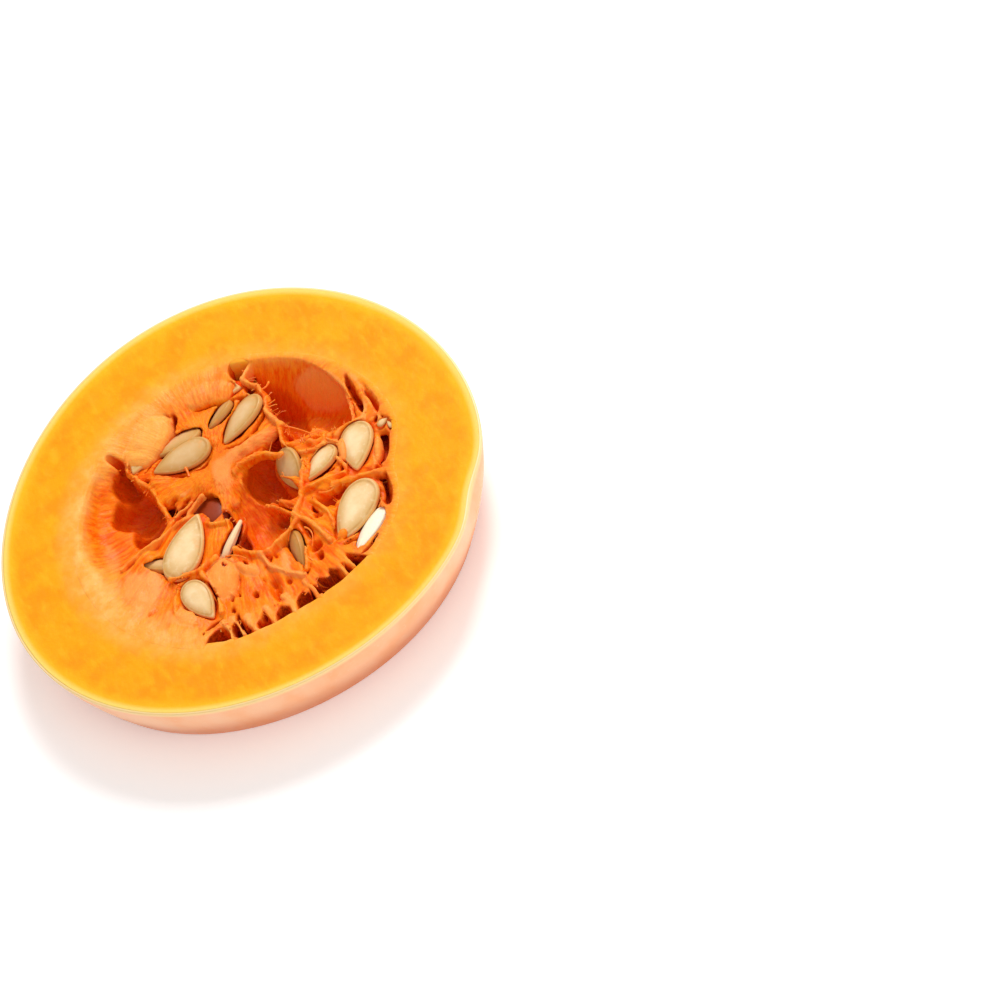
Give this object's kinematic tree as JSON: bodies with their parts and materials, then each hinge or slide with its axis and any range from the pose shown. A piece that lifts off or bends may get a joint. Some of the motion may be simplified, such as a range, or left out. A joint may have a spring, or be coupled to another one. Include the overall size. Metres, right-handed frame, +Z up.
{
  "type": "butternut squash slice",
  "caption": "Thick round slice across a butternut squash's seed bulb: a flat ring of orange flesh with peach rind, filled with torn stringy pulp and pale seeds.",
  "frame": {"origin": "on the surface that the slice lies on, under the middle of the box round it", "axes": "+Z up out of the front cut face, -Y towards the side of the slice that is nearest in the picture, +X to the right along the face's longest line in the picture"},
  "size_m": [0.115, 0.115, 0.017],
  "materials": {
    "flesh": "moist cut flesh, satin",
    "rind": "smooth waxy skin, satin",
    "pulp": "wet stringy pulp, soft gloss",
    "seed": "dry cream seed coat, satin"
  },
  "bodies": {
    "root": {"flesh_ring": "flesh", "rind": "rind", "pulp_and_seeds": "pulp"}
  },
  "joints": []
}
